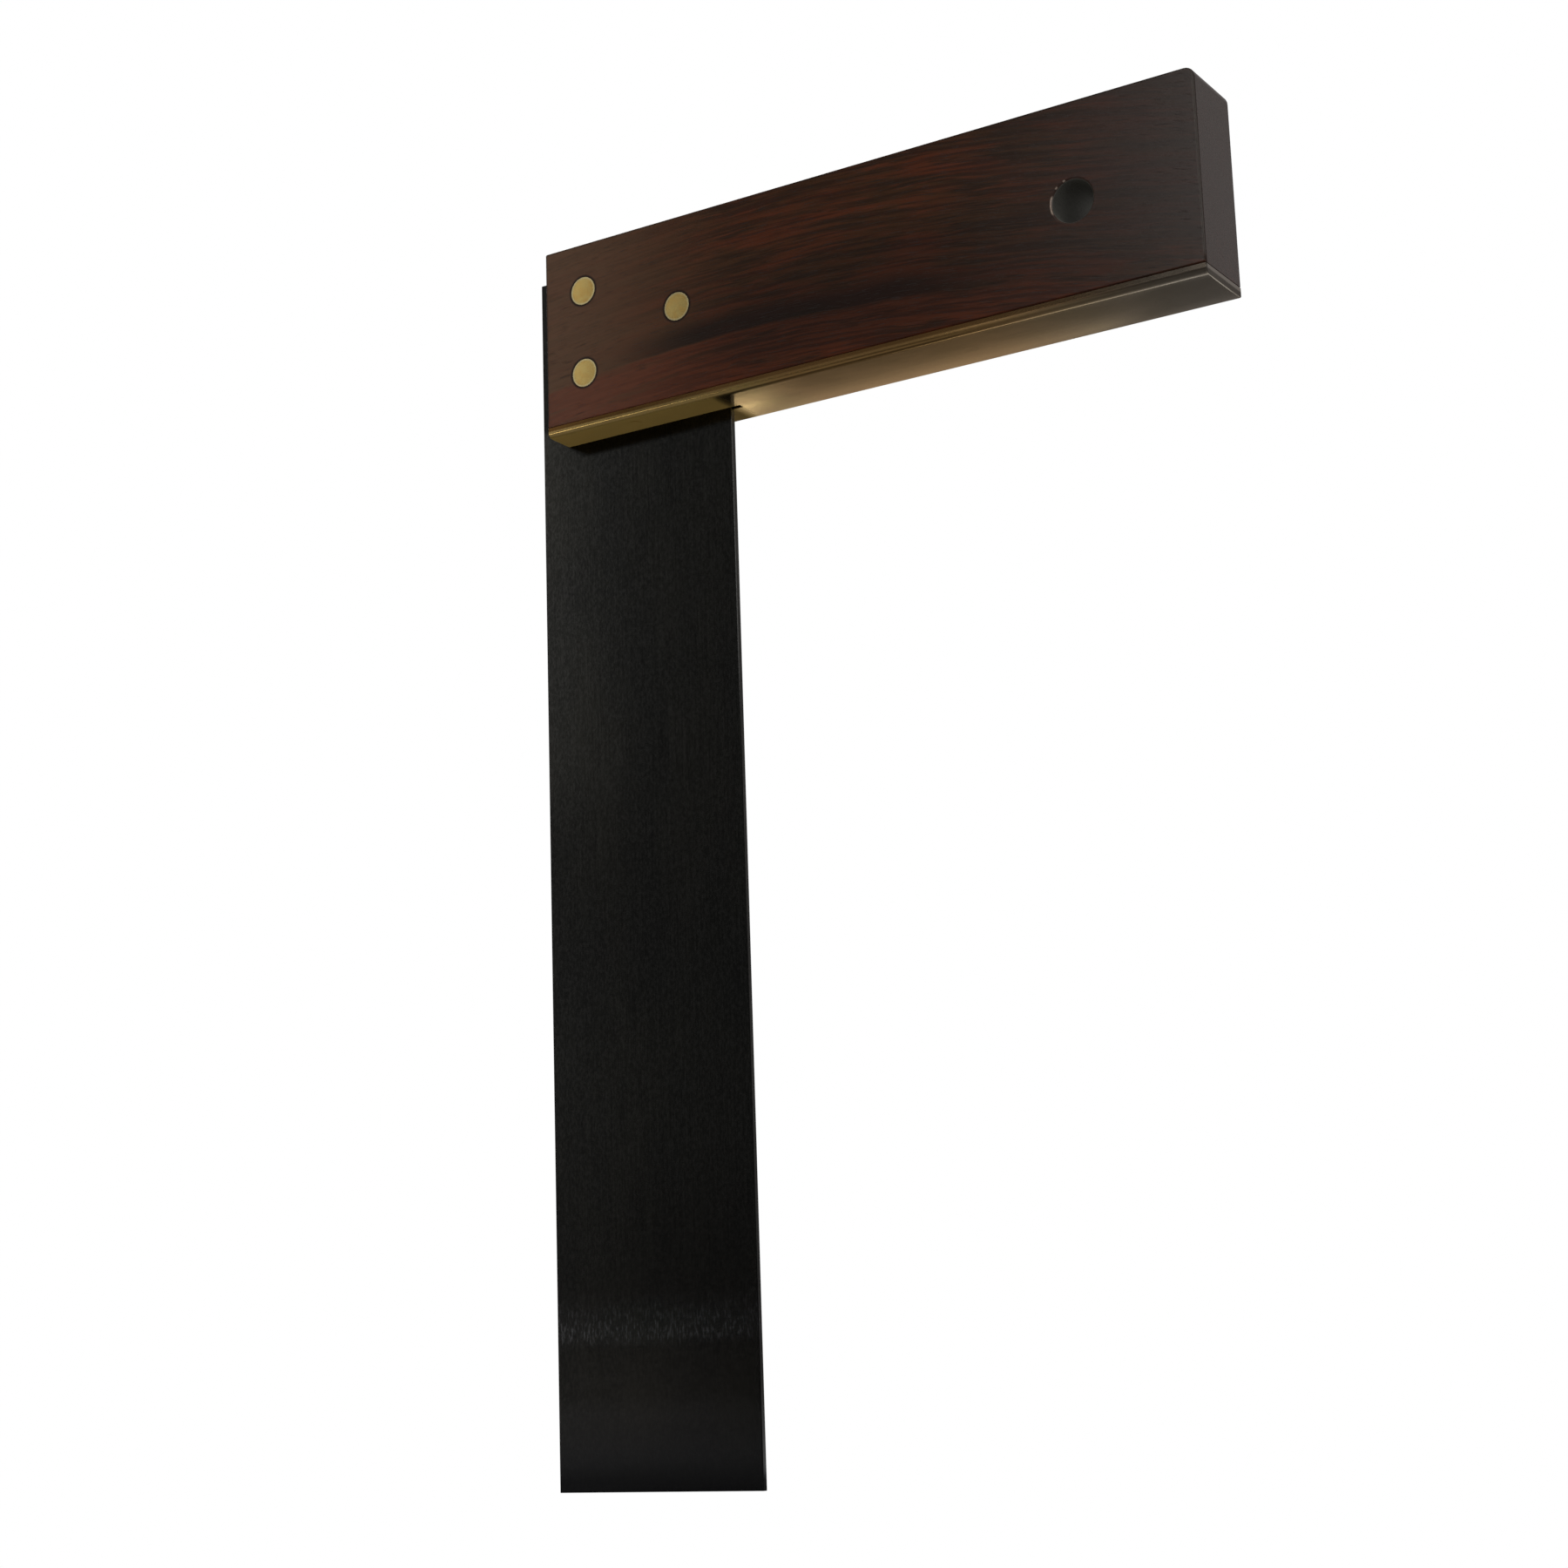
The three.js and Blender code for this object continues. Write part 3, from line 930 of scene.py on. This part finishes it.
WHITE = colour(1, 1, 1)
FLOOR_GREY = colour(0.10, 0.095, 0.09)
SHADOW_GREY = colour(0.12, 0.11, 0.10)
ROOM_TINT = colour(1.0, 0.97, 0.93)
ROOM_BRIGHTNESS = 0.11
SHADOW_REACH = 60 * MM

# Tints of the lamps
NEUTRAL = (1.0, 0.98, 0.95)
DAYLIGHT = (1.0, 0.96, 0.9)
BULB = (1.0, 0.97, 0.92)
WARM = (1.0, 0.93, 0.8)
AMBER = (1.0, 0.91, 0.81)
ROSY = (1.0, 0.93, 0.90)


def direction(azimuth, elevation):
    """The unit vector azimuth degrees to the right of the front and elevation degrees above level."""
    a, e = math.radians(azimuth), math.radians(elevation)
    return Vector((math.sin(a) * math.cos(e), -math.cos(a) * math.cos(e), math.sin(e)))


def floor_material():
    """To the camera the floor is as white as the backdrop, with a soft shadow under the square.

    Everything else sees a lit, darker floor. The shadow fades out where the camera looks along the floor.
    """
    finish = Material("pale_floor")
    finish.set(Base_Color=FLOOR_GREY, Roughness=0.9)
    seen = finish.node("ShaderNodeLightPath").outputs["Is Camera Ray"]
    facing = finish.node("ShaderNodeLayerWeight", 0.5).outputs["Facing"]
    contact = finish.node("ShaderNodeAmbientOcclusion", samples=4)
    contact.inputs["Distance"].default_value = SHADOW_REACH
    shade = finish.minus(1.0, contact.outputs["AO"])
    shade = finish.times(shade, finish.fall(facing, 0.75, 0.93, 0.9, 0.0))
    white = finish.mix(shade, WHITE, SHADOW_GREY)
    glow = finish.node("ShaderNodeEmission", white, 1.0)
    both = finish.node("ShaderNodeMixShader", seen, finish.shader.outputs[0], glow.outputs[0])
    output = finish.tree.nodes["Material Output"]
    finish.tree.links.new(both.outputs[0], output.inputs["Surface"])
    return finish.material


def add_floor():
    """A wide pale floor just under the blade's tip."""
    half = 4.0
    gap = 0.05 * MM
    level = cad_low.z - gap
    vertices = [(-half, -half, level), (half, -half, level), (half, half, level), (-half, half, level)]
    floor = object_from("floor", vertices, [(0, 1, 2, 3)])
    floor.data.materials.append(floor_material())


def set_surroundings():
    """A white backdrop for the camera, and a dim grey room for everything the square reflects."""
    world = bpy.data.worlds.new("studio")
    bpy.context.scene.world = world
    world.use_nodes = True
    tree = world.node_tree
    tree.nodes.clear()
    room = tree.nodes.new("ShaderNodeBackground")
    room.inputs["Color"].default_value = ROOM_TINT
    room.inputs["Strength"].default_value = ROOM_BRIGHTNESS
    backdrop = tree.nodes.new("ShaderNodeBackground")
    backdrop.inputs["Color"].default_value = WHITE
    seen = tree.nodes.new("ShaderNodeLightPath")
    both = tree.nodes.new("ShaderNodeMixShader")
    output = tree.nodes.new("ShaderNodeOutputWorld")
    tree.links.new(seen.outputs["Is Camera Ray"], both.inputs[0])
    tree.links.new(room.outputs[0], both.inputs[1])
    tree.links.new(backdrop.outputs[0], both.inputs[2])
    tree.links.new(both.outputs[0], output.inputs["Surface"])


def add_softbox(name, place, aim, width, height, power, tint):
    """A rectangular lamp of power watts at place that faces aim, hidden from the camera."""
    lamp = bpy.data.lights.new(name, "AREA")
    lamp.shape = "RECTANGLE"
    lamp.size = width
    lamp.size_y = height
    lamp.energy = power
    lamp.color = tint
    holder = bpy.data.objects.new(name, lamp)
    holder.location = place
    holder.rotation_mode = "QUATERNION"
    holder.rotation_quaternion = (place - aim).to_track_quat("Z", "Y")
    holder.visible_camera = False
    bpy.context.scene.collection.objects.link(holder)
    return holder


def add_floor_pool(name, azimuth, distance, width, length, power, tint):
    """A patch of bright floor, as a window leaves, stretching away from the square."""
    height = 2 * MM
    place = direction(azimuth, 0) * distance
    place.z = cad_low.z + height
    pool = add_softbox(name, place, place + Vector((0, 0, 1)), width, length, power, tint)
    pool.rotation_mode = "XYZ"
    pool.rotation_euler = (math.pi, 0, math.radians(azimuth))


def add_lamps(lamps):
    """Softboxes that face the square: (name, azimuth, elevation, distance, width, height, watts, tint)."""
    corner = Vector((0, 0, 0))
    for name, azimuth, elevation, distance, width, height, power, tint in lamps:
        add_softbox(name, direction(azimuth, elevation) * distance, corner, width, height, power, tint)


def add_backdrop(panels):
    """Lit panels that stand behind the square and face the front: (name, x, y, width, watts, tint)."""
    height = 0.9
    for name, x, y, width, power, tint in panels:
        place = Vector((x, y, cad_low.z + height / 2))
        add_softbox(name, place, place - Vector((0, 1, 0)), width, height, power, tint)


def add_lights():
    """Windows and cards round the square, the lit backdrop behind it, and bright patches of floor."""
    add_lamps((
        ("window", -40.8, 26, 2.0, 0.2, 1.2, 0.55, DAYLIGHT),
        ("low_window", -41, -1, 2.0, 0.22, 0.6, 0.1, DAYLIGHT),
        ("overhead", 20, 55, 1.6, 0.8, 0.6, 2.2, BULB),
        ("back_fill", 230, 40, 1.8, 1.0, 1.0, 10, NEUTRAL),
        ("right_card", -14, 24, 1.8, 0.2, 0.5, 0.9, NEUTRAL),
    ))
    add_backdrop((
        ("backdrop_left", -0.52, 0.6, 0.7, 0.6, AMBER),
        ("backdrop_middle", -0.05, 0.7, 0.3, 0.16, ROSY),
        ("backdrop_right", 0.4, 0.72, 0.6, 0.43, ROSY),
    ))
    add_lamps((
        ("right_window", 50, 11, 2.0, 1.1, 0.9, 2.8, NEUTRAL),
        ("front_card", 2, 6, 2.0, 0.6, 1.2, 0.6, NEUTRAL),
    ))
    add_floor_pool("floor_left", -45, 0.35, 0.2, 0.45, 0.028, NEUTRAL)
    add_floor_pool("floor_right", 135, 0.55, 0.4, 1.0, 0.8, NEUTRAL)
    add_floor_pool("floor_behind", -143, 0.7, 0.12, 0.2, 0.125, WARM)
    add_floor_pool("floor_in_front", -40, 1.6, 0.3, 1.2, 2.4, WARM)


def add_camera():
    """The photograph's view: from the front right and below, looking up at the stock's brass face."""
    azimuth = 32.016
    elevation = -11.973
    roll = 1.896
    distance = 581.54 * MM
    aim = Vector((9.74, 0.0, -83.63)) * MM
    back = direction(azimuth, elevation)
    lens = bpy.data.cameras.new("camera")
    lens.sensor_width = 36
    lens.lens = 64.805
    lens.clip_start = 10 * MM
    camera = bpy.data.objects.new("camera", lens)
    camera.location = aim + back * distance
    camera.rotation_mode = "QUATERNION"
    level = (-back).to_track_quat("-Z", "Y")
    camera.rotation_quaternion = level @ Quaternion((0, 0, 1), -math.radians(roll))
    bpy.context.scene.collection.objects.link(camera)
    bpy.context.scene.camera = camera


# --------------------------------------------------------------------------------------------------
# Build
# --------------------------------------------------------------------------------------------------

square_brass = plate_brass()
filed_brass = rivet_brass()

add_stock(rosewood())
add_face_plate(square_brass)
add_blade(blued_steel())
for rivet_name in RIVET_NAMES:
    add_rivet(rivet_name, filed_brass)
    add_washer(rivet_name, -1, filed_brass)
    add_washer(rivet_name, 1, filed_brass)
for pin_name in PIN_NAMES:
    add_pin(pin_name, square_brass)

add_floor()
set_surroundings()
add_lights()
add_camera()
bpy.context.scene.view_settings.view_transform = "Standard"
